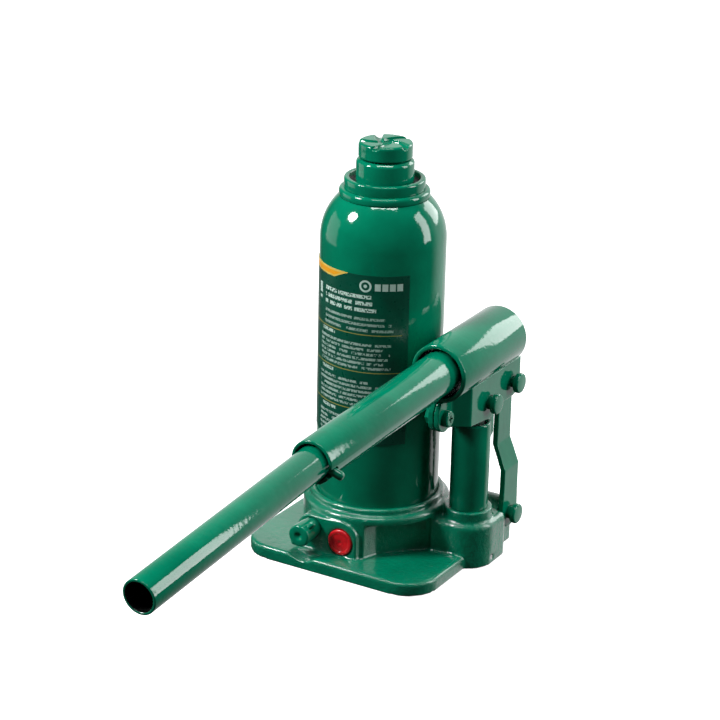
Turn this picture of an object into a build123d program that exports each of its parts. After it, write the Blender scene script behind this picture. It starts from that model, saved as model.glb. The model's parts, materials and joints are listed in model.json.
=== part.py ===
# A small hydraulic bottle jack: a cast base, an oil tank round a ram cylinder, a hand pump beside
# it, and a two-piece handle in a socket that rocks on a pair of links.
#
# Millimetres. X runs along the front edge of the base towards the pump, Y runs backwards, Z up.
# The origin is on the underside of the base, on the axis of the ram.

import os
from math import cos, radians, sin, sqrt, tan

from build123d import *

os.makedirs("parts", exist_ok=True)

# ---- clearances -----------------------------------------------------------------------------
running = 0.05  # shaft in a hole that it turns or slides in, on the radius
threaded = 0.05  # one threaded piece in another, both drawn smooth at their own diameter
loose = 0.4  # between pieces that pass each other
seated = 0.02  # between faces that are welded, riveted or pulled together

# ---- base casting ---------------------------------------------------------------------------
plate_width = 97.0
plate_depth = 90.0
plate_thickness = 6.2
plate_corner = 15.7
plate_edge_round = 1.6
plate_centre_x = 0.9
tank_radius = 28.4
lip_radius = tank_radius + 2.8
lip_height = 29.5
hub_radius = lip_radius + 2.8
hub_height = 26.5
recess_height = 22.3  # underside of the overhang beside the valve block
recess_wall_radius = hub_radius - 7.0  # distance of the flat recessed wall from the ram axis
recess_wall_turn = -41.8  # direction in which that wall faces, from +X
recess_left = -8.5  # ends of the recess along its wall
recess_right = 17.0
recess_mouth_left = -15.5

# ---- ram, ram cylinder and tank -------------------------------------------------------------
ram_radius = 13.0
ram_bore = ram_radius - 2.5
cylinder_bore = ram_radius + 2.0
cylinder_radius = cylinder_bore + 2.5
cylinder_foot = 14.0
cylinder_top = 173.0
sump_radius = cylinder_bore - 0.5
sump_floor = 8.0
collar_radius = cylinder_radius + 2.9
collar_height = 3.7
head_radius = cylinder_radius + 0.7
head_top = cylinder_top + 4.9
head_cup_radius = head_radius - 2.4
head_cup_depth = 3.4
head_length = 21.0
ram_wiper_width = 1.3
ram_wiper_height = 3.0
ram_wiper_lip = 1.2  # thickness of the lip that covers the floor of the head's cup
ram_top = head_top + 8.5
piston_foot = 20.0
piston_height = 12.0
piston_spigot = 8.0
tank_wall = 2.0
tank_foot = 24.0
neck_height = cylinder_top - collar_height
tank_straight_top = neck_height - 19.3
gasket_thickness = 0.8

# ---- extension screw ------------------------------------------------------------------------
saddle_radius = ram_radius - 0.9
saddle_foot = ram_top + 0.6
saddle_height = 7.0
saddle_grooves = 5
screw_radius = ram_bore - 1.5
screw_travel = 60.0
screw_nut_length = 14.0
stop_ring_height = 4.0

# ---- pump -----------------------------------------------------------------------------------
pump_x = hub_radius + 10.0
pump_y = 8.0
plunger_radius = 6.0
plunger_foot = 15.0
pump_radius = plunger_radius + 2.9
pump_top = 68.5
pump_spigot_radius = plunger_radius + 2.0
pump_foot = 12.3
boss_collar_radius = pump_radius + 2.1
boss_collar_height = 26.5
boss_radius = boss_collar_radius + 2.3
boss_height = 21.5
boss_right = pump_x + boss_radius
boss_rear = pump_y + boss_radius + 0.3
boss_edge_round = 3.0
arm_front = -6.4

# ---- linkage: each pivot is a pair (y, z) on the line x = pump_x ----------------------------
link_width = 14.4
link_top_radius = 6.2
link_thickness = 2.5
plunger_pivot = (pump_y, pump_top + 10.5)
link_top_pivot = (pump_y + 22.0, plunger_pivot[1] + 2.8)
link_base_pivot = (boss_rear + link_width / 2 + 1.0, 17.0)
plunger_pin_radius = 3.0
link_top_pin_radius = 2.5
base_pin_radius = 3.0
open_pivot_play = 1.6  # the link's top eye is this much wider than its pin
cheek_gap = plunger_radius + 0.5  # inner face of a cheek from the pump's plane
cheek_thickness = 2.5
link_gap_top = cheek_gap - link_thickness - 0.8  # the same for a link plate, at its top
link_gap_base = 8.0  # and at its foot
joggle_low = 40.0
joggle_high = 52.0
ear_pivot = (-22.0, plunger_pivot[1] + 1.3)
ear_gap = 0.15
ear_bend_front = -16.5
ear_bend_rear = -10.0
pin_head_radius = 4.7
pin_head_thickness = 2.5
pin_head_stand = 2.0

# ---- handle ---------------------------------------------------------------------------------
inner_tube_radius = 7.4
inner_tube_wall = 1.2
outer_tube_wall = 1.5
outer_tube_radius = inner_tube_radius + 0.7 + outer_tube_wall
socket_wall = 2.1
socket_radius = outer_tube_radius + 1.8 + socket_wall
socket_front = -25.6
socket_rear = 33.0
socket_axis_height = plunger_pivot[1] + socket_radius + 9.5  # at y = 0
socket_tilt = 1.0  # degrees that the socket leans down towards the front
outer_tube_front = -130.0
outer_tube_rear = 8.0
outer_tube_tilt = 2.4
outer_tube_cross = -40.0  # where the outer tube's axis crosses the socket's
inner_tube_front = -248.3
inner_tube_rear = -106.0
inner_tube_tilt = 4.75
inner_tube_cross = -118.0  # where the inner tube's axis crosses the outer tube's
notch_width = 5.0
notch_depth = 6.0
cross_pin_radius = 1.9
cross_pin_length = 21.3  # from the inner tube's left side, out past the outer tube's right side
cross_pin_turn = 20.0  # degrees that the pin's right end hangs below its left end

# ---- release valve and safety valve ---------------------------------------------------------
pad_front = hub_radius + 1.2
pad_left = -21.3
pad_right = 10.0
pad_height = 23.0
pad_corner = 7.0
valve_x = -13.5
valve_z = 17.0
valve_head_radius = 5.2
valve_head_front = pad_front + 11.8
valve_thread_radius = 4.5
valve_foot = cylinder_radius + 3.5
valve_seat = valve_foot - 2.0
valve_passage = valve_seat - 2.2  # upright drilling behind the seat
tommy_radius = 1.6
tommy_length = 17.2
tommy_turn = 49.0
scoop_radius = 13.0
scoop_rear = pad_front + 2.3
safety_x = 1.6
safety_z = 13.2
safety_cap_radius = 6.2
safety_cap_depth = 2.5
safety_bore_radius = 4.0
safety_bore_foot = cylinder_radius + 2.1
safety_passage_radius = 0.8
ball_radius = 2.2
pocket_radius = 2.9
passage_radius = 1.1
suction_seat = 4.6
suction_passage_z = 3.2
suction_inlet_x = 21.5  # upright drilling from the reservoir
delivery_x = pump_x - 10.4
delivery_y = pump_y + 9.6
delivery_seat = 6.6
delivery_stub = 2.2  # depth of the drilling under the seat
delivery_inlet_z = 8.4  # where the slanting drilling leaves the pump
delivery_plug_depth = 4.0
spring_wire = 0.3

# ---- label ----------------------------------------------------------------------------------
label_foot = 60.5
label_top = tank_straight_top - 9.4
label_right = -35.0  # direction of its right edge from +X, seen from above
label_span = 123.0
label_thickness = 0.2

# ---- filler plug ----------------------------------------------------------------------------
filler_z = tank_straight_top - 12.0
filler_hole = 4.0
filler_head_radius = 6.5


# ---- helpers --------------------------------------------------------------------------------
def disc(low, high, radius, centre=(0.0, 0.0), mode=Mode.ADD):
    """An upright cylinder between two heights."""
    with BuildSketch(Plane((centre[0], centre[1], low))) as profile:
        Circle(radius)
    extrude(profile.sketch, amount=high - low, mode=mode)


def rod(plane, length, radius, mode=Mode.ADD):
    """A cylinder that starts on a plane and runs along its normal."""
    with BuildSketch(plane) as profile:
        Circle(radius)
    extrude(profile.sketch, amount=length, mode=mode)


def drill(start, end, radius):
    """A straight hole between two points."""
    run = Vector(*end) - Vector(*start)
    rod(Plane(origin=start, z_dir=run.normalized()), run.length, radius, Mode.SUBTRACT)


def facing_front(x, y, z):
    """A plane whose normal points forwards, with its own x along X."""
    return Plane(origin=(x, y, z), x_dir=(1, 0, 0), z_dir=(0, -1, 0))


def facing_right(x, y, z):
    """A plane whose normal points along +X, with its own x along Y."""
    return Plane(origin=(x, y, z), x_dir=(0, 1, 0), z_dir=(1, 0, 0))


def across_handle(y, z, tilt, reach):
    """A plane `reach` to the left of a point of the handle, facing along the cross pin."""
    turn = radians(cross_pin_turn)
    lean = radians(tilt)
    along = Vector(0, cos(lean), sin(lean))
    across = Vector(cos(turn), sin(turn) * sin(lean), -sin(turn) * cos(lean))
    return Plane(origin=Vector(pump_x, y, z) - across * reach, x_dir=along, z_dir=across)


def tilted_axis(point_y, point_z, tilt, y):
    """Height at y of a line in the handle's plane that leans down towards the front."""
    return point_z + (y - point_y) * tan(radians(tilt))


def handle_plane(y, z, tilt):
    """A plane across a handle tube, its normal along the tube towards the front."""
    lean = radians(tilt)
    return Plane(origin=(pump_x, y, z), x_dir=(1, 0, 0), z_dir=(0, -cos(lean), -sin(lean)))


def coil(centre, low, high, radius, turns):
    """A compression spring on an upright line."""
    pitch = (high - low - 2 * spring_wire) / turns
    start = (centre[0], centre[1], low + spring_wire)
    path = Helix(pitch, pitch * turns, radius, center=start)
    with BuildPart() as spring:
        with BuildSketch(Plane(origin=path @ 0, z_dir=path % 0)):
            Circle(spring_wire)
        sweep(path=path, is_frenet=True)
    return spring.part


def finish(piece, label):
    """Name a finished piece and write its file."""
    piece.label = label
    export_step(piece, f"parts/{label}.step")


# ---- base casting ---------------------------------------------------------------------------
valve_wall = Plane.XZ.offset(pad_front)
gasket_seat = tank_foot - gasket_thickness
cylinder_seat = cylinder_foot - 1.0
pump_seat = pump_foot - gasket_thickness
sump_passage_z = sump_floor + 2.5
lug_half = link_gap_base - loose
pump_axis = (pump_x, pump_y)
delivery = (delivery_x, delivery_y)
drilling_mouth = max(boss_right, plate_centre_x + plate_width / 2)

with BuildPart() as base_casting:
    with BuildSketch():
        with Locations((plate_centre_x, 0)):
            RectangleRounded(plate_width, plate_depth, plate_corner)
    extrude(amount=plate_thickness)
    fillet(base_casting.edges().group_by(Axis.Z)[-1], plate_edge_round)
    # round hub that carries the tank, with a flat wall set back under its rim beside the valves
    disc(0, hub_height, hub_radius)
    with BuildSketch(Plane.XY.offset(plate_thickness)):
        with BuildLine(Plane.XY.rotated((0, 0, recess_wall_turn))):
            Polyline(
                (recess_wall_radius, recess_left),
                (recess_wall_radius, recess_right),
                (hub_radius + 6, recess_right),
                (hub_radius + 6, recess_mouth_left),
                (recess_wall_radius + 3, recess_mouth_left),
                close=True,
            )
        make_face()
    extrude(amount=recess_height - plate_thickness, mode=Mode.SUBTRACT)
    rim = base_casting.edges().filter_by(GeomType.CIRCLE).group_by(Axis.Z)[-1]
    fillet(rim, 2.2)
    disc(hub_height - 3, lip_height, lip_radius)
    fillet(base_casting.edges().group_by(Axis.Z)[-1], 1.2)
    # arm and boss of the pump
    with BuildSketch():
        with BuildLine():
            Polyline(
                (20, boss_rear),
                (boss_right, boss_rear),
                (boss_right, pump_y),
                (pump_x, pump_y - boss_radius + 0.5),
                (recess_wall_radius + 3.2, arm_front),
                (20, arm_front),
                close=True,
            )
        make_face()
        with Locations((pump_x, pump_y)):
            Circle(boss_radius)
    extrude(amount=boss_height)
    right_face = base_casting.faces().group_by(Axis.X)[-1]
    fillet(right_face.edges().filter_by(Axis.Z).group_by(Axis.Y)[-1], boss_edge_round)
    top_edges = base_casting.edges().filter_by(lambda e: abs(e.center().Z - boss_height) < 0.01)
    fillet(top_edges.filter_by(lambda e: e.center().X > hub_radius), boss_edge_round)
    disc(0, boss_collar_height, boss_collar_radius, pump_axis)
    collar_edge = base_casting.edges().filter_by(GeomType.CIRCLE)
    collar_edge = collar_edge.filter_by(lambda e: abs(e.center().X - pump_x) < 1)
    fillet(collar_edge.group_by(Axis.Z)[-1], 1.5)
    # lug between the feet of the two link plates
    with BuildSketch(facing_right(pump_x - lug_half, 0, 0)):
        with Locations(link_base_pivot):
            Circle(link_width / 2 - 0.2)
        with BuildLine():
            Polyline(
                (boss_rear - 2, 0),
                (boss_rear - 2, link_base_pivot[1] + 3),
                (link_base_pivot[0], link_base_pivot[1] + link_width / 2 - 0.2),
                (link_base_pivot[0] + link_width / 2 - 0.2, link_base_pivot[1]),
                (link_base_pivot[0] + link_width / 2 - 0.2, 0),
                close=True,
            )
        make_face()
    extrude(amount=2 * lug_half)
    # valve block on the front of the hub
    with BuildSketch(valve_wall):
        with BuildLine():
            corner = pad_height - pad_corner
            Polyline((pad_left, corner), (pad_left, 0), (pad_right, 0), (pad_right, corner))
            RadiusArc((pad_right, corner), (pad_right - pad_corner, pad_height), -pad_corner)
            Line((pad_right - pad_corner, pad_height), (pad_left + pad_corner, pad_height))
            RadiusArc((pad_left + pad_corner, pad_height), (pad_left, corner), -pad_corner)
        make_face()
    extrude(amount=-(pad_front - 12))
    # round scoop in the plate under the knob of the release valve
    rod(facing_front(valve_x, -scoop_rear, valve_z), plate_depth, scoop_radius, Mode.SUBTRACT)
    # seats for the tank, the ram cylinder and the pump
    disc(gasket_seat, lip_height, tank_radius + seated, mode=Mode.SUBTRACT)
    disc(cylinder_seat, gasket_seat, cylinder_radius + threaded, mode=Mode.SUBTRACT)
    disc(sump_floor, cylinder_seat, sump_radius, mode=Mode.SUBTRACT)
    spigot_hole = pump_spigot_radius + threaded
    disc(pump_seat, boss_collar_height, spigot_hole, pump_axis, Mode.SUBTRACT)
    # suction: reservoir, cross drilling, seat and pocket under the pump
    disc(suction_seat, pump_seat, pocket_radius, pump_axis, Mode.SUBTRACT)
    inlet = (suction_inlet_x, pump_y)
    drill((*pump_axis, suction_seat), (*pump_axis, suction_passage_z), passage_radius)
    drill((drilling_mouth, pump_y, suction_passage_z), (*inlet, suction_passage_z), passage_radius)
    drill((*inlet, suction_passage_z), (*inlet, gasket_seat), passage_radius)
    # delivery: pocket in the arm, seat, and drillings to the pump and to the ram cylinder
    disc(delivery_seat, boss_height, pocket_radius, delivery, Mode.SUBTRACT)
    stub_end = delivery_seat - delivery_stub
    drill((*delivery, delivery_seat), (*delivery, stub_end), passage_radius)
    drill((*pump_axis, delivery_inlet_z), (*delivery, stub_end + 0.5), passage_radius)
    drill((*delivery, sump_passage_z), (8, 3.8, sump_passage_z), passage_radius)
    # release valve: bore, ball seat, and drillings to the ram cylinder and to the reservoir
    rod(
        facing_front(valve_x, -valve_foot, valve_z),
        pad_front,
        valve_thread_radius + threaded,
        Mode.SUBTRACT,
    )
    drill((valve_x, -valve_seat, valve_z), (valve_x, -valve_foot, valve_z), ball_radius + loose)
    behind = (valve_x, -valve_passage)
    ahead = (valve_x, -(valve_foot + 0.4))
    drill((*behind, valve_z), (valve_x, -valve_seat, valve_z), passage_radius)
    drill((*behind, valve_z), (*behind, sump_passage_z), passage_radius)
    drill((*behind, sump_passage_z), (-5, -6, sump_passage_z), passage_radius)
    drill((*ahead, valve_z), (*ahead, gasket_seat), passage_radius)
    # safety valve: bore, cap recess and a drilling to the ram cylinder
    rod(
        facing_front(safety_x, -safety_bore_foot, safety_z),
        pad_front,
        safety_bore_radius + threaded,
        Mode.SUBTRACT,
    )
    rod(
        facing_front(safety_x, -(pad_front - safety_cap_depth), safety_z),
        safety_cap_depth,
        safety_cap_radius + threaded,
        Mode.SUBTRACT,
    )
    safety_inlet = (safety_x, 1.5 - sump_radius, sump_passage_z)
    drill((safety_x, -safety_bore_foot, safety_z), safety_inlet, safety_passage_radius)
    # link pin hole through the lug
    pin_hole = facing_right(pump_x - lug_half, *link_base_pivot)
    rod(pin_hole, 2 * lug_half, base_pin_radius + running, Mode.SUBTRACT)
finish(base_casting.part, "base_casting")

# ---- tank -----------------------------------------------------------------------------------
shoulder_r = collar_radius - 0.1
shoulder_drop = tank_radius - shoulder_r
shoulder_arc = (shoulder_drop**2 + (neck_height - tank_straight_top) ** 2) / (2 * shoulder_drop)
shoulder_x = tank_radius - shoulder_arc
inner_arc = shoulder_arc - tank_wall
inner_top = neck_height - tank_wall
inner_r = shoulder_x + sqrt(inner_arc**2 - (inner_top - tank_straight_top) ** 2)
neck_radius = cylinder_radius + 0.2

with BuildPart() as tank_shell:
    with BuildSketch(Plane.XZ):
        with BuildLine():
            Line((tank_radius - tank_wall, tank_foot), (tank_radius, tank_foot))
            Line((tank_radius, tank_foot), (tank_radius, tank_straight_top))
            RadiusArc((tank_radius, tank_straight_top), (shoulder_r, neck_height), -shoulder_arc)
            Polyline((shoulder_r, neck_height), (neck_radius, neck_height), (neck_radius, inner_top))
            Line((neck_radius, inner_top), (inner_r, inner_top))
            RadiusArc(
                (inner_r, inner_top), (tank_radius - tank_wall, tank_straight_top), inner_arc
            )
            Line((tank_radius - tank_wall, tank_straight_top), (tank_radius - tank_wall, tank_foot))
        make_face()
    revolve(axis=Axis.Z)
    rod(facing_front(0, tank_radius + 1, filler_z), 8, filler_hole, Mode.SUBTRACT)
finish(tank_shell.part, "tank_shell")

with BuildPart() as tank_gasket:
    disc(gasket_seat, tank_foot - seated, tank_radius - running)
    disc(gasket_seat, tank_foot, tank_radius - tank_wall, mode=Mode.SUBTRACT)
finish(tank_gasket.part, "tank_gasket")

label_inner = tank_radius + running
with BuildPart() as tank_label:
    edge_line = radians(label_right)
    edge_plane = Plane(
        origin=(0, 0, label_foot),
        x_dir=(cos(edge_line), sin(edge_line), 0),
        z_dir=(sin(edge_line), -cos(edge_line), 0),
    )
    with BuildSketch(edge_plane):
        with Locations((label_inner + label_thickness / 2, (label_top - label_foot) / 2)):
            Rectangle(label_thickness, label_top - label_foot)
    revolve(axis=Axis.Z, revolution_arc=-label_span)
finish(tank_label.part, "tank_label")

with BuildPart() as filler_plug:
    rod(facing_front(0, tank_radius + seated, filler_z), 3.4, filler_hole - running)
    rod(facing_front(0, tank_radius + 2.6, filler_z), 2.6 - seated, filler_head_radius)
    fillet(filler_plug.edges().group_by(Axis.Y)[-1], 0.9)
finish(filler_plug.part, "filler_plug")

# ---- ram cylinder and its head --------------------------------------------------------------
with BuildPart() as cylinder_gasket:
    disc(cylinder_seat, cylinder_foot - seated, cylinder_radius - 0.2)
    disc(cylinder_seat, cylinder_foot, cylinder_bore + 0.2, mode=Mode.SUBTRACT)
finish(cylinder_gasket.part, "cylinder_gasket")

with BuildPart() as ram_cylinder:
    disc(cylinder_foot, cylinder_top, cylinder_radius)
    disc(cylinder_foot, cylinder_top, cylinder_bore, mode=Mode.SUBTRACT)
    # the last two millimetres below the head let oil past to the tank
    drill((0, 0, cylinder_top - head_length - 4), (30, 0, cylinder_top - head_length - 4), 0.8)
finish(ram_cylinder.part, "ram_cylinder")

head_foot = cylinder_top - head_length
wiper_seat = head_top - head_cup_depth - ram_wiper_height
with BuildPart() as cylinder_head:
    disc(head_foot, cylinder_top + seated, cylinder_bore - threaded)
    disc(cylinder_top + seated, head_top, head_radius)
    fillet(cylinder_head.edges().group_by(Axis.Z)[-1], 0.8)
    disc(head_top - head_cup_depth, head_top, head_cup_radius, mode=Mode.SUBTRACT)
    disc(wiper_seat, head_top, ram_radius + ram_wiper_width, mode=Mode.SUBTRACT)
    disc(head_foot, head_top, ram_radius + running, mode=Mode.SUBTRACT)
finish(cylinder_head.part, "cylinder_head")

with BuildPart() as ram_wiper:
    cup_floor = wiper_seat + ram_wiper_height
    wiper_top = cup_floor + ram_wiper_lip
    disc(wiper_seat + seated, cup_floor + seated, ram_radius + ram_wiper_width - running)
    disc(cup_floor + seated, wiper_top, head_cup_radius - running)
    disc(wiper_seat, wiper_top, ram_radius + running, mode=Mode.SUBTRACT)
finish(ram_wiper.part, "ram_wiper")

with BuildPart() as tank_collar:
    disc(neck_height + seated, cylinder_top, collar_radius)
    fillet(tank_collar.edges().group_by(Axis.Z)[-1], 1.4)
    fillet(tank_collar.edges().group_by(Axis.Z)[0], 0.6)
    disc(neck_height, cylinder_top, cylinder_radius + threaded, mode=Mode.SUBTRACT)
finish(tank_collar.part, "tank_collar")

# ---- ram, piston and extension screw --------------------------------------------------------
nut_foot = ram_top - screw_nut_length
stop_top = nut_foot - screw_travel
piston_top = piston_foot + piston_height
with BuildPart() as ram:
    disc(piston_top, ram_top, ram_radius)
    chamfer(ram.edges().group_by(Axis.Z)[-1], 0.8)
    disc(piston_top, nut_foot, ram_bore, mode=Mode.SUBTRACT)
    disc(nut_foot, ram_top, screw_radius + threaded, mode=Mode.SUBTRACT)
finish(ram.part, "ram")

seal_foot = piston_foot + 2.5
seal_height = 4.0
guide_foot = seal_foot + seal_height + 1.2
guide_height = 3.0
with BuildPart() as piston:
    disc(piston_foot, piston_top - seated, cylinder_bore - running)
    disc(piston_top - seated, piston_top + piston_spigot, ram_bore - threaded)
    for groove_foot, groove_height, depth in (
        (seal_foot, seal_height, 3.0),
        (guide_foot, guide_height, 1.5),
    ):
        with BuildSketch(Plane.XY.offset(groove_foot)):
            Circle(cylinder_bore)
            Circle(cylinder_bore - depth, mode=Mode.SUBTRACT)
        extrude(amount=groove_height, mode=Mode.SUBTRACT)
finish(piston.part, "piston")

with BuildPart() as piston_seal:
    disc(seal_foot + seated, seal_foot + seal_height - seated, cylinder_bore - running)
    disc(seal_foot, seal_foot + seal_height, cylinder_bore - 3.0 + seated, mode=Mode.SUBTRACT)
    with BuildSketch(Plane.XY.offset(seal_foot)):
        Circle(cylinder_bore - 1.0)
        Circle(cylinder_bore - 2.0, mode=Mode.SUBTRACT)
    extrude(amount=2.0, mode=Mode.SUBTRACT)
finish(piston_seal.part, "piston_seal")

with BuildPart() as piston_guide_ring:
    disc(guide_foot + seated, guide_foot + guide_height - seated, cylinder_bore - running)
    disc(guide_foot, guide_foot + guide_height, cylinder_bore - 1.5 + seated, mode=Mode.SUBTRACT)
finish(piston_guide_ring.part, "piston_guide_ring")

spigot_radius = screw_radius - 2.5
stop_foot = stop_top - stop_ring_height
with BuildPart() as extension_screw:
    disc(stop_top, saddle_foot, screw_radius)
    disc(stop_foot - 2.4, stop_top, spigot_radius)
    disc(stop_foot - 2.0, stop_foot - 1.0, spigot_radius, mode=Mode.SUBTRACT)
    disc(stop_foot - 2.0, stop_foot - 1.0, spigot_radius - 1.0)
    disc(saddle_foot, saddle_foot + saddle_height, saddle_radius)
    fillet(extension_screw.edges().group_by(Axis.Z)[-1], 1.0)
    # shallow grooves across the face leave raised petals that grip the load
    face = Plane.XY.offset(saddle_foot + saddle_height)
    with BuildSketch(face):
        with PolarLocations(saddle_radius, saddle_grooves, 90 - 29.9):
            SlotCenterToCenter(saddle_radius, 2.6)
    extrude(amount=-1.8, mode=Mode.SUBTRACT)
    with BuildSketch(face):
        Circle(3.0)
    extrude(amount=-1.4, mode=Mode.SUBTRACT, taper=35)
finish(extension_screw.part, "extension_screw")

with BuildPart() as screw_stop_ring:
    disc(stop_foot, stop_top - running, ram_bore - 0.3)
    disc(stop_foot, stop_top, spigot_radius + running, mode=Mode.SUBTRACT)
finish(screw_stop_ring.part, "screw_stop_ring")

with BuildPart() as screw_snap_ring:
    clip_foot = stop_foot - 2.0 + seated
    disc(clip_foot, stop_foot - 1.0 - seated, spigot_radius + 1.2)
    disc(clip_foot, stop_foot, spigot_radius - 1.0 + seated, mode=Mode.SUBTRACT)
    with BuildSketch(Plane.XY.offset(clip_foot)):
        with Locations((spigot_radius, 0)):
            Rectangle(5, 2.4)
    extrude(amount=1, mode=Mode.SUBTRACT)
finish(screw_snap_ring.part, "screw_snap_ring")

# ---- pump -----------------------------------------------------------------------------------
with BuildPart() as pump_gasket:
    disc(pump_seat, pump_foot - seated, pump_spigot_radius - running, pump_axis)
    disc(pump_seat, pump_foot, plunger_radius + running, pump_axis, Mode.SUBTRACT)
finish(pump_gasket.part, "pump_gasket")

wiper_foot = pump_top - 4.5
with BuildPart() as pump_cylinder:
    disc(boss_collar_height + seated, pump_top, pump_radius, pump_axis)
    fillet(pump_cylinder.edges().group_by(Axis.Z)[-1], 0.7)
    disc(pump_foot, boss_collar_height + seated, pump_spigot_radius, pump_axis)
    disc(pump_foot, pump_top, plunger_radius + running, pump_axis, Mode.SUBTRACT)
    disc(wiper_foot, pump_top, pump_radius - 1.3, pump_axis, Mode.SUBTRACT)
finish(pump_cylinder.part, "pump_cylinder")

with BuildPart() as pump_wiper:
    disc(wiper_foot, wiper_foot + 2.2, pump_radius - 1.3 - running, pump_axis)
    disc(wiper_foot, wiper_foot + 2.2, plunger_radius + running, pump_axis, Mode.SUBTRACT)
finish(pump_wiper.part, "pump_wiper")

ring_groove = plunger_foot + 2.0
ring_height = 2.2
with BuildPart() as plunger:
    disc(plunger_foot, plunger_pivot[1] + plunger_radius, plunger_radius, pump_axis)
    fillet(plunger.edges().group_by(Axis.Z)[-1], 2.5)
    with BuildSketch(Plane((*pump_axis, ring_groove))):
        Circle(plunger_radius + 1)
        Circle(plunger_radius - 1.6, mode=Mode.SUBTRACT)
    extrude(amount=ring_height, mode=Mode.SUBTRACT)
    eye = facing_right(pump_x - pump_radius, *plunger_pivot)
    rod(eye, 2 * pump_radius, plunger_pin_radius + running, Mode.SUBTRACT)
finish(plunger.part, "plunger")

with BuildPart() as plunger_ring:
    disc(ring_groove + seated, ring_groove + ring_height - seated, plunger_radius, pump_axis)
    disc(
        ring_groove,
        ring_groove + ring_height,
        plunger_radius - 1.6 + seated,
        pump_axis,
        Mode.SUBTRACT,
    )
finish(plunger_ring.part, "plunger_ring")

# ---- check valves: a ball on a seat under a light spring ------------------------------------
spring_radius = ball_radius - spring_wire
for name, centre, seat, spring_top in (
    ("suction", pump_axis, suction_seat, plunger_foot - 0.6),
    ("delivery", delivery, delivery_seat, boss_height - delivery_plug_depth),
):
    seat_drop = sqrt(ball_radius**2 - passage_radius**2)
    middle = seat + seat_drop + seated
    with BuildPart() as ball:
        with Locations((*centre, middle)):
            Sphere(ball_radius)
    finish(ball.part, f"{name}_ball")
    spring_low = middle + sqrt(ball_radius**2 - spring_radius**2) + spring_wire
    spring_high = min(spring_top - 0.1, spring_low + 6.5)
    finish(coil(centre, spring_low, spring_high, spring_radius, 4), f"{name}_spring")

with BuildPart() as delivery_plug:
    plug_top = boss_height - 0.8
    disc(boss_height - delivery_plug_depth, plug_top, pocket_radius - threaded, delivery)
    with BuildSketch(Plane((*delivery, plug_top))):
        RegularPolygon(1.7, 6)
    extrude(amount=-1.8, mode=Mode.SUBTRACT)
finish(delivery_plug.part, "delivery_plug")

with BuildPart() as suction_plug:
    plug_start = facing_right(drilling_mouth - 5, pump_y, suction_passage_z)
    rod(plug_start, 4.7, passage_radius - running)
finish(suction_plug.part, "suction_plug")

# ---- release valve --------------------------------------------------------------------------
valve_ball_y = valve_seat + sqrt(ball_radius**2 - passage_radius**2) + seated
valve_tip = valve_ball_y + ball_radius + seated
tommy_line = radians(tommy_turn)
tommy_y = -(valve_head_front - 4.6)
tommy_start = (
    valve_x - tommy_length / 2 * cos(tommy_line),
    tommy_y,
    valve_z - tommy_length / 2 * sin(tommy_line),
)
tommy_direction = (cos(tommy_line), 0, sin(tommy_line))
tommy_plane = Plane(origin=tommy_start, x_dir=(0, 1, 0), z_dir=tommy_direction)
with BuildPart() as release_valve:
    knob_rear = pad_front + 1.0
    knob_length = valve_head_front - knob_rear
    rod(facing_front(valve_x, -knob_rear, valve_z), knob_length, valve_head_radius)
    fillet(release_valve.edges().group_by(Axis.Y)[0], 0.9)
    rod(facing_front(valve_x, -valve_tip, valve_z), pad_front + 2 - valve_tip, valve_thread_radius)
    with BuildSketch(facing_front(valve_x, -valve_head_front, valve_z)):
        Circle(1.9)
    extrude(amount=-1.5, mode=Mode.SUBTRACT, taper=40)
    rod(tommy_plane, tommy_length, tommy_radius + seated, Mode.SUBTRACT)
finish(release_valve.part, "release_valve")

with BuildPart() as release_tommy_bar:
    rod(tommy_plane, tommy_length, tommy_radius)
    fillet(release_tommy_bar.edges().filter_by(GeomType.CIRCLE), 1.2)
finish(release_tommy_bar.part, "release_tommy_bar")

with BuildPart() as release_ball:
    with Locations((valve_x, -valve_ball_y, valve_z)):
        Sphere(ball_radius)
finish(release_ball.part, "release_ball")

# ---- safety valve ---------------------------------------------------------------------------
safety_front = pad_front - safety_cap_depth
with BuildPart() as safety_valve_cap:
    cap_plane = facing_front(safety_x, -(safety_front + seated), safety_z)
    rod(cap_plane, safety_cap_depth + 0.6, safety_cap_radius)
    fillet(safety_valve_cap.edges().group_by(Axis.Y)[0], 0.5)
    with BuildSketch(facing_front(safety_x, -(pad_front + 0.6), safety_z)):
        Circle(1.3)
    extrude(amount=-0.5, mode=Mode.SUBTRACT, taper=45)
finish(safety_valve_cap.part, "safety_valve_cap")

with BuildPart() as safety_adjuster:
    rod(facing_front(safety_x, -(safety_front - 4.5), safety_z), 4.2, safety_bore_radius)
    with BuildSketch(facing_front(safety_x, -(safety_front - 0.3), safety_z)):
        RegularPolygon(2.0, 6)
    extrude(amount=-2.2, mode=Mode.SUBTRACT)
finish(safety_adjuster.part, "safety_adjuster")

with BuildPart() as safety_ball:
    with Locations((safety_x, -(safety_bore_foot + 1.6), safety_z)):
        Sphere(1.55)
finish(safety_ball.part, "safety_ball")

safety_spring_rear = safety_bore_foot + 3.2
safety_spring_front = safety_front - 4.6
upright = coil((0, 0), safety_spring_rear, safety_spring_front, 2.6, 3)
safety_spring = upright.rotate(Axis.X, 90).translate((safety_x, 0, safety_z))
finish(safety_spring, "safety_spring")

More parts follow.
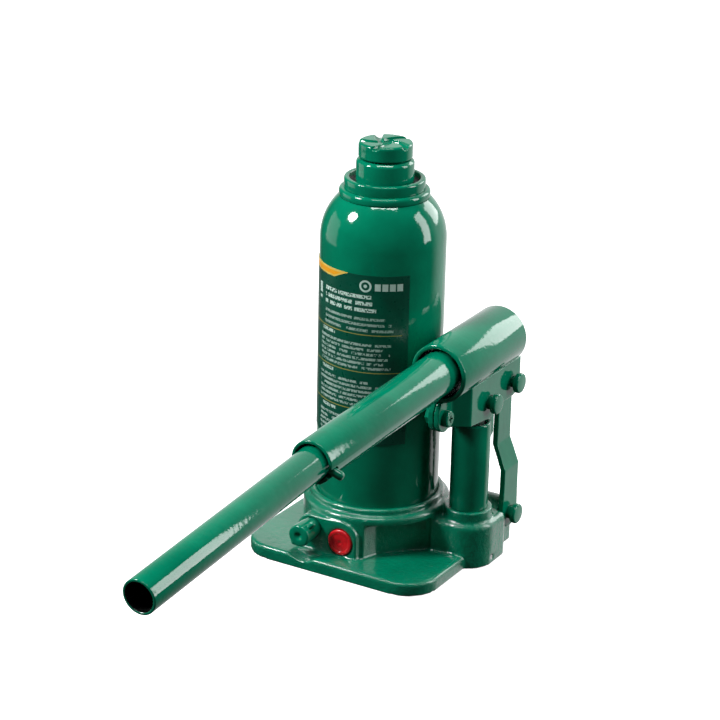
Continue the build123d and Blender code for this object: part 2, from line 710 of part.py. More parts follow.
# ---- links ----------------------------------------------------------------------------------
link_foot = link_base_pivot[1] - link_width / 2
link_head = link_top_pivot[1] + link_top_radius
for side, name in ((1, "right"), (-1, "left")):
    low_in = pump_x + side * link_gap_base
    low_out = pump_x + side * (link_gap_base + link_thickness)
    high_in = pump_x + side * link_gap_top
    high_out = pump_x + side * (link_gap_top + link_thickness)
    with BuildPart() as link_plate:
        with BuildSketch(Plane.XZ.offset(-link_base_pivot[0] - link_width)):
            with BuildLine():
                Polyline(
                    (low_in, link_foot),
                    (low_out, link_foot),
                    (low_out, joggle_low),
                    (high_out, joggle_high),
                    (high_out, link_head),
                    (high_in, link_head),
                    (high_in, joggle_high),
                    (low_in, joggle_low),
                    close=True,
                )
            make_face()
        extrude(amount=2 * link_width)
        bends = link_plate.edges().filter_by(Axis.Y)
        bends = bends.filter_by(lambda e: joggle_low - 1 < e.center().Z < joggle_high + 1)
        fillet(bends, 2.2)
        with BuildSketch(facing_right(pump_x - 20, 0, 0)):
            with Locations(link_base_pivot):
                Circle(link_width / 2)
            with Locations(link_top_pivot):
                Circle(link_top_radius)
            with BuildLine():
                Polyline(
                    (link_base_pivot[0] - link_width / 2, link_base_pivot[1]),
                    (link_top_pivot[0] - link_top_radius, link_top_pivot[1]),
                    (link_top_pivot[0] + link_top_radius, link_top_pivot[1]),
                    (link_base_pivot[0] + link_width / 2, link_base_pivot[1]),
                    close=True,
                )
            make_face()
            with Locations(link_base_pivot):
                Circle(base_pin_radius + running, mode=Mode.SUBTRACT)
            with Locations(link_top_pivot):
                Circle(link_top_pin_radius + open_pivot_play, mode=Mode.SUBTRACT)
        extrude(amount=40, mode=Mode.INTERSECT)
    finish(link_plate.part, f"link_plate_{name}")

# ---- handle socket --------------------------------------------------------------------------
socket_front_z = tilted_axis(0, socket_axis_height, socket_tilt, socket_front)
socket_length = (socket_rear - socket_front) / cos(radians(socket_tilt))
socket_rear_z = tilted_axis(0, socket_axis_height, socket_tilt, socket_rear)
socket_plane = handle_plane(socket_rear, socket_rear_z, socket_tilt)
with BuildPart() as handle_socket:
    rod(socket_plane, socket_length, socket_radius)
    rod(socket_plane, socket_length, socket_radius - socket_wall, Mode.SUBTRACT)
    fillet(handle_socket.edges().filter_by(GeomType.CIRCLE), 0.6)
finish(handle_socket.part, "handle_socket")

behind_z = tilted_axis(0, socket_axis_height, socket_tilt, socket_rear + 20)
behind_socket = handle_plane(socket_rear + 20, behind_z, socket_tilt)
cheek_top = socket_axis_height
cheek_floor = link_top_pivot[1] - 7.0
for side, name in ((1, "right"), (-1, "left")):
    main_in = pump_x + side * cheek_gap
    main_out = pump_x + side * (cheek_gap + cheek_thickness)
    ear_in = pump_x + side * ear_gap
    ear_out = pump_x + side * (ear_gap + cheek_thickness)
    with BuildPart() as cheek:
        with BuildSketch(Plane.XY.offset(cheek_floor - 10)):
            with BuildLine():
                Polyline(
                    (ear_in, ear_pivot[0] - 10),
                    (ear_out, ear_pivot[0] - 10),
                    (ear_out, ear_bend_front),
                    (main_out, ear_bend_rear),
                    (main_out, link_top_pivot[0] + 10),
                    (main_in, link_top_pivot[0] + 10),
                    (main_in, ear_bend_rear + 1),
                    (ear_in, ear_bend_front + 1),
                    close=True,
                )
            make_face()
        extrude(amount=cheek_top - cheek_floor + 10)
        bends = cheek.edges().filter_by(Axis.Z)
        bends = bends.filter_by(lambda e: ear_bend_front - 1 < e.center().Y < ear_bend_rear + 2)
        fillet(bends, 1.6)
        with BuildSketch(facing_right(pump_x - 20, 0, 0)):
            with Locations(ear_pivot):
                Circle(6.6)
            with Locations(plunger_pivot):
                Circle(8.0)
            with Locations(link_top_pivot):
                Circle(7.0)
            with BuildLine():
                Polyline(
                    (ear_pivot[0] - 6.6, ear_pivot[1]),
                    (ear_pivot[0] - 3, ear_pivot[1] - 5.8),
                    (ear_pivot[0] + 2, ear_pivot[1] - 6.0),
                    (plunger_pivot[0] - 3, plunger_pivot[1] - 7.4),
                    (plunger_pivot[0], cheek_floor),
                    (link_top_pivot[0], cheek_floor),
                    (link_top_pivot[0] + 7.0, link_top_pivot[1]),
                    (link_top_pivot[0] + 7.0, cheek_top),
                    (ear_bend_front - 2, cheek_top),
                    (ear_pivot[0] - 6.6, ear_pivot[1] + 4),
                    close=True,
                )
            make_face()
            with Locations(ear_pivot):
                Circle(2.0 + running, mode=Mode.SUBTRACT)
            with Locations(plunger_pivot):
                Circle(plunger_pin_radius + seated, mode=Mode.SUBTRACT)
            with Locations(link_top_pivot):
                Circle(link_top_pin_radius + seated, mode=Mode.SUBTRACT)
        extrude(amount=40, mode=Mode.INTERSECT)
        rod(behind_socket, 2 * socket_length, socket_radius + seated, Mode.SUBTRACT)
    finish(cheek.part, f"socket_cheek_{name}")


# ---- pins, clips and the ear's screw --------------------------------------------------------
def headed_pin(pivot, radius, reach):
    """A pin along X with its head on the right and a grooved end on the left."""
    end_plane = facing_right(pump_x - reach - 2.6, *pivot)
    with BuildPart() as pin:
        rod(end_plane, 2 * reach + 2.6 + pin_head_stand, radius)
        chamfer(pin.edges().group_by(Axis.X)[0], 0.4)
        head_plane = facing_right(pump_x + reach + pin_head_stand, *pivot)
        rod(head_plane, pin_head_thickness, pin_head_radius)
        fillet(pin.edges().group_by(Axis.X)[-1], 0.7)
        with BuildSketch(facing_right(pump_x - reach - 1.4, *pivot)) as groove:
            Circle(radius + 1)
            Circle(radius - 0.6, mode=Mode.SUBTRACT)
        extrude(groove.sketch, amount=0.9, mode=Mode.SUBTRACT)
    return pin.part


def snap_ring(pivot, radius, reach):
    """The split ring in a pin's groove."""
    with BuildPart() as ring:
        with BuildSketch(facing_right(pump_x - reach - 1.4 + seated, *pivot)) as section:
            Circle(radius + 1.3)
            Circle(radius - 0.6 + seated, mode=Mode.SUBTRACT)
            with Locations((0, radius)):
                Rectangle(2.2, 4, mode=Mode.SUBTRACT)
        extrude(section.sketch, amount=0.9 - 2 * seated)
    return ring.part


cheek_reach = cheek_gap + cheek_thickness
link_reach = link_gap_base + link_thickness
finish(headed_pin(plunger_pivot, plunger_pin_radius, cheek_reach), "plunger_pin")
finish(headed_pin(link_top_pivot, link_top_pin_radius, cheek_reach), "link_top_pin")
finish(headed_pin(link_base_pivot, base_pin_radius, link_reach), "link_base_pin")
finish(
    Compound(
        children=[
            snap_ring(plunger_pivot, plunger_pin_radius, cheek_reach),
            snap_ring(link_top_pivot, link_top_pin_radius, cheek_reach),
        ]
    ),
    "socket_pin_clips",
)
finish(snap_ring(link_base_pivot, base_pin_radius, link_reach), "base_pin_clip")

ear_reach = ear_gap + cheek_thickness
with BuildPart() as ear_screw:
    rod(facing_right(pump_x - ear_reach - 2.4, *ear_pivot), 2 * ear_reach + 2.4 + 1.6, 2.0)
    rod(facing_right(pump_x + ear_reach + seated, *ear_pivot), 2.6, 3.9)
    fillet(ear_screw.edges().group_by(Axis.X)[-1], 1.2)
    with BuildSketch(facing_right(pump_x + ear_reach + 2.7, *ear_pivot)):
        Rectangle(3.6, 0.9)
        Rectangle(0.9, 3.6)
    extrude(amount=-1.2, mode=Mode.SUBTRACT)
finish(ear_screw.part, "ear_screw")

with BuildPart() as ear_nut:
    with BuildSketch(facing_right(pump_x - ear_reach - 3.2, *ear_pivot)):
        RegularPolygon(4.0, 6)
        Circle(2.0 + threaded, mode=Mode.SUBTRACT)
    extrude(amount=3.2 - seated)
finish(ear_nut.part, "ear_nut")

# ---- handle ---------------------------------------------------------------------------------
cross_z = tilted_axis(0, socket_axis_height, socket_tilt, outer_tube_cross)
outer_rear_z = tilted_axis(outer_tube_cross, cross_z, outer_tube_tilt, outer_tube_rear)
outer_plane = handle_plane(outer_tube_rear, outer_rear_z, outer_tube_tilt)
outer_length = (outer_tube_rear - outer_tube_front) / cos(radians(outer_tube_tilt))
joint_z = tilted_axis(outer_tube_cross, cross_z, outer_tube_tilt, inner_tube_cross)
inner_rear_z = tilted_axis(inner_tube_cross, joint_z, inner_tube_tilt, inner_tube_rear)
inner_plane = handle_plane(inner_tube_rear, inner_rear_z, inner_tube_tilt)
inner_length = (inner_tube_rear - inner_tube_front) / cos(radians(inner_tube_tilt))
cross_pin_y = outer_tube_front + notch_depth - cross_pin_radius - 0.6
cross_pin_z = tilted_axis(inner_tube_cross, joint_z, inner_tube_tilt, cross_pin_y)
cross_pin_left = inner_tube_radius + 0.2
cross_pin_plane = across_handle(cross_pin_y, cross_pin_z, inner_tube_tilt, cross_pin_left)

with BuildPart() as handle_outer_tube:
    rod(outer_plane, outer_length, outer_tube_radius)
    rod(outer_plane, outer_length, outer_tube_radius - outer_tube_wall, Mode.SUBTRACT)
    notch_z = tilted_axis(outer_tube_cross, cross_z, outer_tube_tilt, outer_tube_front)
    with BuildSketch(across_handle(outer_tube_front, notch_z, outer_tube_tilt, 0)):
        with BuildLine():
            Polyline(
                (-2, -notch_width / 2),
                (-2, notch_width / 2),
                (notch_depth - notch_width / 2, notch_width / 2),
            )
            RadiusArc(
                (notch_depth - notch_width / 2, notch_width / 2),
                (notch_depth - notch_width / 2, -notch_width / 2),
                notch_width / 2,
            )
            Line((notch_depth - notch_width / 2, -notch_width / 2), (-2, -notch_width / 2))
        make_face()
    extrude(amount=outer_tube_radius + 1, mode=Mode.SUBTRACT)
finish(handle_outer_tube.part, "handle_outer_tube")

with BuildPart() as handle_inner_tube:
    rod(inner_plane, inner_length, inner_tube_radius)
    rod(inner_plane, inner_length, inner_tube_radius - inner_tube_wall, Mode.SUBTRACT)
    rod(cross_pin_plane, cross_pin_length, cross_pin_radius + seated, Mode.SUBTRACT)
finish(handle_inner_tube.part, "handle_inner_tube")

with BuildPart() as handle_cross_pin:
    rod(cross_pin_plane, cross_pin_length, cross_pin_radius)
    fillet(handle_cross_pin.edges().filter_by(GeomType.CIRCLE), 1.3)
finish(handle_cross_pin.part, "handle_cross_pin")
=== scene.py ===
import json
from math import cos, pi, radians, sin

import bmesh
import bpy
from mathutils import Matrix, Vector


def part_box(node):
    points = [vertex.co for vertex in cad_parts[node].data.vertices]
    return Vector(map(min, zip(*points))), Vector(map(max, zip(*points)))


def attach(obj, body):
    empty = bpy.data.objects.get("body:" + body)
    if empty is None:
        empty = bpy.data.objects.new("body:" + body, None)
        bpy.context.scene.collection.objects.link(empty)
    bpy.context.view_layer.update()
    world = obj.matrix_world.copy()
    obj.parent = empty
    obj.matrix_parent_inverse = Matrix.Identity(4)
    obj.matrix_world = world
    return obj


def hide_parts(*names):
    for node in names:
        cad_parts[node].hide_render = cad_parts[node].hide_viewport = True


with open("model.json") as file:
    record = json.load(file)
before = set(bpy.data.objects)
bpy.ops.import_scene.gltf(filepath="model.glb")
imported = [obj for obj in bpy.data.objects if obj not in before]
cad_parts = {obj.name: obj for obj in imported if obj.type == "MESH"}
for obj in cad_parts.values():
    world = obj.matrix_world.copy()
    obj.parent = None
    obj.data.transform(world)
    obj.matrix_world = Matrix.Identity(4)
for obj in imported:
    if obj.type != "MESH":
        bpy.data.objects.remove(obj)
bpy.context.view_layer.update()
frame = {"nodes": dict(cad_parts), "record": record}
mm = 0.001


def middle(node):
    low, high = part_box(node)
    return (low + high) / 2 / mm  # millimetres, like every size below


pumpX = middle("pump_cylinder").x
pumpY = middle("pump_cylinder").y


# sums on shader sockets, and the materials made with them
class Wire:  # one output socket, with the usual operators
    def __init__(self, shop, socket):
        self.shop = shop
        self.socket = socket

    def math(self, operation, *others):
        sockets = dict(enumerate((self, *others)))
        return self.shop.node("ShaderNodeMath", {"operation": operation}, sockets)

    def __add__(self, other):
        return self.math("ADD", other)

    def __radd__(self, other):
        return self.math("ADD", other)

    def __sub__(self, other):
        return self.math("SUBTRACT", other)

    def __rsub__(self, other):
        return self.shop.node("ShaderNodeMath", {"operation": "SUBTRACT"}, {0: other, 1: self})

    def __mul__(self, other):
        return self.math("MULTIPLY", other)

    def __rmul__(self, other):
        return self.math("MULTIPLY", other)

    def __truediv__(self, other):
        return self.math("DIVIDE", other)

    def __gt__(self, other):
        return self.math("GREATER_THAN", other)

    def __lt__(self, other):
        return self.math("LESS_THAN", other)

    def __abs__(self):
        return self.math("ABSOLUTE")

    def floor(self):
        return self.math("FLOOR")

    def fraction(self):
        return self.math("FRACT")

    def between(self, low, high):
        return (self > low) * (self < high)


class Shop:  # builds one material round one shader
    def __init__(self, name, **constants):
        self.material = bpy.data.materials.new(name)
        self.material.use_nodes = True
        self.tree = self.material.node_tree
        self.tree.nodes.clear()
        self.shader = self.tree.nodes.new("ShaderNodeBsdfPrincipled")
        out = self.tree.nodes.new("ShaderNodeOutputMaterial")
        self.tree.links.new(self.shader.outputs[0], out.inputs[0])
        for socket, value in constants.items():
            self.set(socket.replace("_", " "), value)

    def set(self, socket, value):
        target = self.shader.inputs[socket]
        if isinstance(value, Wire):
            self.tree.links.new(value.socket, target)
        else:
            target.default_value = value
        return self

    def node(self, kind, settings=None, sockets=None, output=0):
        made = self.tree.nodes.new(kind)
        for key, value in (settings or {}).items():
            setattr(made, key, value)
        for key, value in (sockets or {}).items():
            if isinstance(value, Wire):
                self.tree.links.new(value.socket, made.inputs[key])
            else:
                made.inputs[key].default_value = value
        return Wire(self, made.outputs[output])

    def place(self):  # the row frame, in millimetres
        spot = self.node("ShaderNodeTexCoord", output=3)
        return self.node("ShaderNodeMapping", {}, {0: spot, 3: (1 / mm, 1 / mm, 1 / mm)})

    def axes(self, spot):
        return [self.node("ShaderNodeSeparateXYZ", {}, {0: spot}, i) for i in range(3)]

    def vector(self, x, y, z):
        return self.node("ShaderNodeCombineXYZ", {}, {0: x, 1: y, 2: z})

    def noise(self, spot, size, detail=2.0, roughness=0.5):  # size of one blotch, in millimetres
        sockets = {"Vector": spot, "Scale": 1 / size, "Detail": detail, "Roughness": roughness}
        return self.node("ShaderNodeTexNoise", {}, sockets)

    def range(self, value, low, high, start=0.3, end=0.7):
        sockets = {0: value, 1: start, 2: end, 3: low, 4: high}
        return self.node("ShaderNodeMapRange", {}, sockets)

    def blend(self, factor, first, second):
        sockets = {0: factor, 6: first, 7: second}
        return self.node("ShaderNodeMix", {"data_type": "RGBA"}, sockets, 2)

    def bump(self, height, distance, strength=1.0, below=None):
        sockets = {"Height": height, "Distance": distance * mm, "Strength": strength}
        if below is not None:
            sockets["Normal"] = below
        return self.node("ShaderNodeBump", {}, sockets)


enamelGreens = {
    "deep": (0.0, 0.075, 0.040, 1),
    "full": (0.0, 0.205, 0.109, 1),
    "thin": (0.002, 0.28, 0.165, 1),
}
# blotch sizes in millimetres, then how far each tone and the painted corner shade are mixed in
enamel = {
    "cloud": 14.0, "speck": 1.1, "peel": 2.4, "grain": 0.9,
    "cloudShare": 0.35, "wornShare": 0.35, "paintedCornerShadeShare": 0.8, "spread": 0.08, "coatRoughness": 0.04,
}
# the second range picks the inside corners that get painted shade
pointedness = {"worn": (0.53, 0.60), "paintedCornerShade": (0.40, 0.485)}  # from inside corners, 0, to outside edges, 1


def enamelMaterial(name, grain, dimple, gloss, coat=0.0):
    shop = Shop(name, IOR=1.5, Coat_Weight=coat, Coat_Roughness=enamel["coatRoughness"])
    spot = shop.place()
    cloudy = shop.range(shop.noise(spot, enamel["cloud"], 3), 0, 1)
    speck = shop.noise(spot, enamel["speck"], 4, 0.6)
    edge = shop.node("ShaderNodeNewGeometry", output=7)
    worn = shop.range(edge, 0, 1, *pointedness["worn"])
    # painted shade: inside corners and creases are darkened towards the deep green, as if shade fell there
    paintedCornerShade = shop.range(edge, 1, 0, *pointedness["paintedCornerShade"])
    paint = shop.blend(cloudy * enamel["cloudShare"], enamelGreens["full"], enamelGreens["deep"])
    paint = shop.blend(worn * enamel["wornShare"], paint, enamelGreens["thin"])
    paint = shop.blend(paintedCornerShade * enamel["paintedCornerShadeShare"], paint, enamelGreens["deep"])
    shop.set("Base Color", paint)
    shop.set("Roughness", shop.range(speck, gloss, gloss + enamel["spread"]))
    peel = shop.bump(shop.noise(spot, enamel["peel"], 2), dimple)
    grains = shop.noise(spot, enamel["grain"], 5, 0.62)
    shop.set("Normal", shop.bump(grains, grain, below=peel))
    return shop.material


steel = {
    "stretch": 0.12, "scratch": 0.7, "smear": 6.0, "bright": 1.12, "dull": 0.72,
    "smooth": 0.18, "rough": 0.36, "depth": 0.012,
}


def steelMaterial(name, tint, lines):  # scratches run round the piece, closer together with more lines
    shop = Shop(name, Metallic=1.0)
    spot = shop.place()
    stretch = (steel["stretch"], steel["stretch"], lines)
    stretched = shop.node("ShaderNodeMapping", {}, {0: spot, 3: stretch})
    scratch = shop.noise(stretched, steel["scratch"], 4, 0.7)
    smear = shop.range(shop.noise(spot, steel["smear"], 3), 0, 1)
    bright, dull = ((*(steel[tone] * c for c in tint), 1) for tone in ("bright", "dull"))
    shop.set("Base Color", shop.blend(smear, bright, dull))
    shop.set("Roughness", shop.range(scratch, steel["smooth"], steel["rough"]))
    shop.set("Normal", shop.bump(scratch, steel["depth"]))
    return shop.material


rubber = {"clean": (0.012, 0.012, 0.013, 1), "dusty": (0.03, 0.03, 0.032, 1)}


def rubberMaterial():
    shop = Shop("blackRubber", IOR=1.45)
    spot = shop.place()
    dust = shop.range(shop.noise(spot, 5.0, 4), 0, 1)
    shop.set("Base Color", shop.blend(dust, rubber["clean"], rubber["dusty"]))
    shop.set("Roughness", shop.range(shop.noise(spot, 1.0, 3), 0.45, 0.7))
    shop.set("Normal", shop.bump(shop.noise(spot, 0.5, 3), 0.02))
    return shop.material


def plasticMaterial(name, light, dark, gloss):
    shop = Shop(name, IOR=1.48, Coat_Weight=0.3, Coat_Roughness=0.1)
    spot = shop.place()
    flow = shop.range(shop.noise(spot, 3.0, 3), 0, 1)
    shop.set("Base Color", shop.blend(flow, (*light, 1), (*dark, 1)))
    shop.set("Roughness", shop.range(shop.noise(spot, 0.8, 3), gloss, gloss + 0.15))
    shop.set("Normal", shop.bump(shop.noise(spot, 0.7, 3), 0.03))
    return shop.material


label = {
    "seamAngle": -160.0,  # where distance along the label starts, from +X seen from above
    "radius": 28.65,
    "top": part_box("tank_label")[1].z / mm,
    "bandDepth": 3.65,
    "bandTip": 26.0,
    "bandEnd": 34.0,
    "rules": (112.8, 95.0, 77.0),
    "ruleEnd": 59.5,
    "ruleHalf": 0.2,
    "edge": 0.9,  # pale edge above the amber core of the band
    "inset": 0.8,  # and below it
    "ring": (42.5, 135.6),
    "ringRadii": (1.9, 2.8),
    "dot": 0.8,
    "letter": 0.75,
    "word": 3.0,
    "letterShift": 9.7,  # from row to row, so that no two rows read alike
    "wordShift": 5.3,
    "letterStretch": 0.8,
}
labelTones = {
    "film": (0.0, 0.085, 0.048, 1), "filmDeep": (0.0, 0.062, 0.036, 1), "ink": (0.62, 0.80, 0.72, 1),
    "gold": (0.42, 0.36, 0.08, 1), "amberEdge": (0.72, 0.5, 0.1, 1), "amber": (0.85, 0.36, 0.01, 1),
}
cover = {"block": 0.95, "ink": 0.9, "gold": 0.8}
gaps = {"letters": 0.44, "words": 0.36}  # noise below these leaves a gap
# each block of rows: top of its first row, spacing, row height, number of rows,
# start, shortest and longest end, strength of the ink
labelRows = (
    (131.4, 3.1, 1.75, 3, 19.7, 41.0, 50.0, 1.0),
    (120.8, 2.65, 1.25, 3, 19.7, 51.0, 59.0, 0.55),
    (112.0, 2.4, 1.5, 1, 18.0, 27.0, 27.5, 0.8),
    (108.6, 2.2, 1.2, 6, 16.5, 44.0, 58.0, 0.62),
    (94.0, 2.4, 1.5, 1, 18.0, 28.0, 28.5, 0.8),
    (90.6, 2.2, 1.2, 6, 16.5, 42.0, 56.0, 0.62),
    (76.0, 2.4, 1.5, 1, 18.0, 28.0, 28.5, 0.8),
    (72.6, 2.2, 1.2, 5, 16.5, 42.0, 56.0, 0.62),
)
# plain blocks: start, end, foot, top
labelBlocks = (
    (13.6, 16.4, 126.6, 131.6),
    (14.0, 16.2, 124.0, 125.4),
    (46.8, 49.4, 133.7, 137.0),
    (50.1, 52.7, 133.7, 137.0),
    (53.4, 56.0, 133.7, 137.0),
    (56.7, 59.3, 133.7, 137.0),
)


def labelMaterial():
    shop = Shop("printedLabel", IOR=1.48, Coat_Weight=0.25, Coat_Roughness=0.15)
    spot = shop.place()
    x, y, z = shop.axes(spot)
    turn = y.math("ARCTAN2", x) * (180 / pi) - label["seamAngle"]
    run = turn * (label["radius"] * pi / 180)
    ink = None
    for top, spacing, height, count, start, shortEnd, longEnd, strength in labelRows:
        step = (top - z) / spacing
        row = step.floor()
        chance = shop.node("ShaderNodeTexWhiteNoise", {"noise_dimensions": "1D"}, {"W": row + top})
        end = chance * (longEnd - shortEnd) + shortEnd
        inside = row.between(-0.5, count - 0.5) * (step.fraction() < height / spacing)
        inside = inside * (run > start) * (run < end)
        letterSpot = shop.vector(run, row * label["letterShift"] + top, z * label["letterStretch"])
        letters = shop.noise(letterSpot, label["letter"], 2) > gaps["letters"]
        wordSpot = shop.vector(run, row * label["wordShift"], top)
        words = shop.noise(wordSpot, label["word"], 1) > gaps["words"]
        marks = inside * letters * words * strength
        ink = marks if ink is None else ink.math("MAXIMUM", marks)
    for start, end, foot, top in labelBlocks:
        ink = ink.math("MAXIMUM", run.between(start, end) * z.between(foot, top) * cover["block"])
    across, above = run - label["ring"][0], z - label["ring"][1]
    away = (across * across + above * above).math("SQRT")
    ink = ink.math("MAXIMUM", away.between(*label["ringRadii"]) + (away < label["dot"]))
    gold = None
    for height in label["rules"]:
        line = (abs(z - height) < label["ruleHalf"]) * (run < label["ruleEnd"])
        gold = line if gold is None else gold + line
    depth = label["top"] - z
    slope = (label["bandEnd"] - run) * (label["bandDepth"] / (label["bandEnd"] - label["bandTip"]))
    limit = slope.math("MINIMUM", label["bandDepth"])
    band = depth < limit
    core = (depth > label["edge"]) * (depth < limit - label["inset"])
    blotch = shop.range(shop.noise(spot, 9.0, 3), 0, 1)
    film = shop.blend(blotch, labelTones["film"], labelTones["filmDeep"])
    film = shop.blend(ink * cover["ink"], film, labelTones["ink"])
    film = shop.blend(gold * cover["gold"], film, labelTones["gold"])
    amber = shop.blend(core, labelTones["amberEdge"], labelTones["amber"])
    shop.set("Base Color", shop.blend(band, film, amber))
    shop.set("Roughness", shop.range(shop.noise(spot, 2.0, 3), 0.26, 0.36))
    shop.set("Normal", shop.bump(shop.noise(spot, 3.0, 2), 0.02))
    return shop.material


finishes = {
    "cast_enamel": enamelMaterial("castEnamel", 0.34, 0.30, 0.04, 0.7),
    "green_enamel": enamelMaterial("smoothEnamel", 0.008, 0.05, 0.03),
    "ground_steel": steelMaterial("groundSteel", (0.60, 0.61, 0.62), 6.0),
    "spring_steel": steelMaterial("springSteel", (0.42, 0.43, 0.45), 1.0),
    "copper": steelMaterial("softCopper", (0.72, 0.36, 0.20), 1.0),
    "black_rubber": rubberMaterial(),
    "guide_plastic": plasticMaterial("guidePlastic", (0.74, 0.70, 0.60), (0.62, 0.58, 0.48), 0.35),
    "red_plastic": plasticMaterial("redPlastic", (0.72, 0.012, 0.018), (0.52, 0.008, 0.014), 0.14),
    "printed_label": labelMaterial(),
}
print("materials:", len(finishes))


# forms are built as bmesh, in metres, from sizes in millimetres
def finishPiece(bm, name, body, finish, nodes, sharp=35):
    mesh = bpy.data.meshes.new(name)
    bm.to_mesh(mesh)
    bm.free()
    piece = bpy.data.objects.new(name, mesh)
    bpy.context.scene.collection.objects.link(piece)
    mesh.materials.append(finishes[finish])
    for face in mesh.polygons:
        face.use_smooth = True
    mesh.set_sharp_from_angle(angle=radians(sharp))
    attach(piece, body)
    if nodes:
        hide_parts(*nodes)
    return piece


def axisPlace(start, direction):  # local Z runs along the direction from the start, in millimetres
    turned = Vector(direction).to_track_quat("Z", "Y").to_matrix().to_4x4()
    return Matrix.Translation(Vector(start) * mm) @ turned


def turnedForm(outline, place=None, steps=96, corner=4):
    # outline: (radius, height, rounding) in millimetres, closed unless it starts and ends on the axis
    bm = bmesh.new()
    points = [bm.verts.new((r * mm, 0, z * mm)) for r, z, _ in outline]
    for first, second in zip(points, points[1:]):
        bm.edges.new((first, second))
    solid = outline[0][0] == 0 and outline[-1][0] == 0
    if not solid:
        bm.edges.new((points[-1], points[0]))
    for point, (_, _, rounding) in zip(points, outline):
        if rounding:
            bmesh.ops.bevel(bm, geom=[point], offset=rounding * mm, offset_type="OFFSET",
                            segments=corner, profile=0.5, affect="VERTICES", material=-1)
    bmesh.ops.spin(bm, geom=bm.verts[:] + bm.edges[:], cent=(0, 0, 0), axis=(0, 0, 1),
                   dvec=(0, 0, 0), angle=2 * pi, steps=steps, use_merge=True, use_duplicate=False)
    bmesh.ops.remove_doubles(bm, verts=bm.verts[:], dist=0.002 * mm)
    bmesh.ops.recalc_face_normals(bm, faces=bm.faces[:])
    if place is not None:
        bmesh.ops.transform(bm, matrix=place, verts=bm.verts[:])
    return bm


def scratchObject(bm, name="scratch"):
    mesh = bpy.data.meshes.new(name)
    bm.to_mesh(mesh)
    bm.free()
    thing = bpy.data.objects.new(name, mesh)
    bpy.context.scene.collection.objects.link(thing)
    return thing


def settled(thing):  # the mesh with its modifiers worked in, and the object gone
    shape = thing.evaluated_get(bpy.context.evaluated_depsgraph_get())
    bm = bmesh.new()
    bm.from_mesh(shape.to_mesh())
    shape.to_mesh_clear()
    mesh = thing.data
    bpy.data.objects.remove(thing)
    bpy.data.meshes.remove(mesh)
    return bm


def combined(first, second, operation):
    base = scratchObject(first)
    other = scratchObject(second)
    cut = base.modifiers.new("combine", "BOOLEAN")
    cut.operation = operation
    cut.solver = "EXACT"
    cut.object = other
    result = settled(base)
    mesh = other.data
    bpy.data.objects.remove(other)
    bpy.data.meshes.remove(mesh)
    return result


def softened(bm, voxel, passes, factor=0.5):  # one skin with every edge and corner rounded over
    thing = scratchObject(bm)
    remesh = thing.modifiers.new("skin", "REMESH")
    remesh.mode = "VOXEL"
    remesh.voxel_size = voxel * mm
    smooth = thing.modifiers.new("round", "SMOOTH")
    smooth.factor = factor
    smooth.iterations = passes
    return settled(thing)


def cadForm(*nodes):
    bm = bmesh.new()
    for node in nodes:
        bm.from_mesh(frame["nodes"][node].data)
    bmesh.ops.remove_doubles(bm, verts=bm.verts[:], dist=0.001 * mm)
    return bm


def barForm(size, centre, rounding=0.3):
    bm = bmesh.new()
    bmesh.ops.create_cube(bm, size=1)
    bmesh.ops.scale(bm, vec=Vector(size) * mm, verts=bm.verts[:])
    bmesh.ops.bevel(bm, geom=bm.edges[:], offset=rounding * mm, offset_type="OFFSET",
                    segments=3, profile=0.5, affect="EDGES", material=-1)
    bmesh.ops.translate(bm, vec=Vector(centre) * mm, verts=bm.verts[:])
    return bm


# the casting is the CAD solid with its edges flowed over like cast iron under paint
casting = {"voxel": 0.6, "passes": 6}
castForm = softened(cadForm("base_casting"), casting["voxel"], casting["passes"])
finishPiece(castForm, "castBase", "root", "cast_enamel", ["base_casting"], sharp=180)
print("base casting done")

tank = {
    "radius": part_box("tank_shell")[1].x / mm,
    "wall": 2.0,
    "foot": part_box("tank_shell")[0].z / mm,
    "straightTop": 150.0,
    "top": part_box("tank_shell")[1].z / mm,
    "neckInner": 17.7,
    "arc": 27.04,
    "arcSteps": 14,
    "plugHeight": 138.0,
    "plugHole": 4.0,
    "plugReach": (6.0, 12.0),  # start of the cut under the skin, and its length
}


def shoulderPoints(radius, arc, low, high, steps):
    points = []
    for i in range(steps + 1):
        height = low + (high - low) * sin(pi / 2 * i / steps)
        points.append((radius - arc + (arc ** 2 - (height - low) ** 2) ** 0.5, height, 0))
    return points


def tankForm():
    t = tank
    outside = shoulderPoints(t["radius"], t["arc"], t["straightTop"], t["top"], t["arcSteps"])
    inside = shoulderPoints(t["radius"] - t["wall"], t["arc"] - t["wall"], t["straightTop"],
                            t["top"] - t["wall"], t["arcSteps"])
    outline = [(t["radius"] - t["wall"], t["foot"], 0), (t["radius"], t["foot"], 0.3), *outside,
               (t["neckInner"], t["top"], 0), (t["neckInner"], t["top"] - t["wall"], 0),
               *reversed(inside)]
    body = turnedForm(outline, steps=144)
    under, length = t["plugReach"]
    hole = turnedForm([(0, 0, 0), (t["plugHole"], 0, 0), (t["plugHole"], length, 0), (0, length, 0)],
                      axisPlace((0, t["radius"] - under, t["plugHeight"]), (0, 1, 0)), steps=48)
    return combined(body, hole, "DIFFERENCE")


finishPiece(tankForm(), "oilTank", "root", "green_enamel", ["tank_shell"])

collar = {"outer": 20.4, "inner": 17.55, "round": 1.5}
collarLow, collarHigh = (v.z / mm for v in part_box("tank_collar"))
collarForm = turnedForm([
    (collar["inner"], collarLow, 0), (collar["outer"], collarLow, 0.7),
    (collar["outer"], collarHigh, collar["round"]), (collar["inner"], collarHigh, 0.3),
])
finishPiece(collarForm, "tankCollar", "root", "green_enamel", ["tank_collar"])

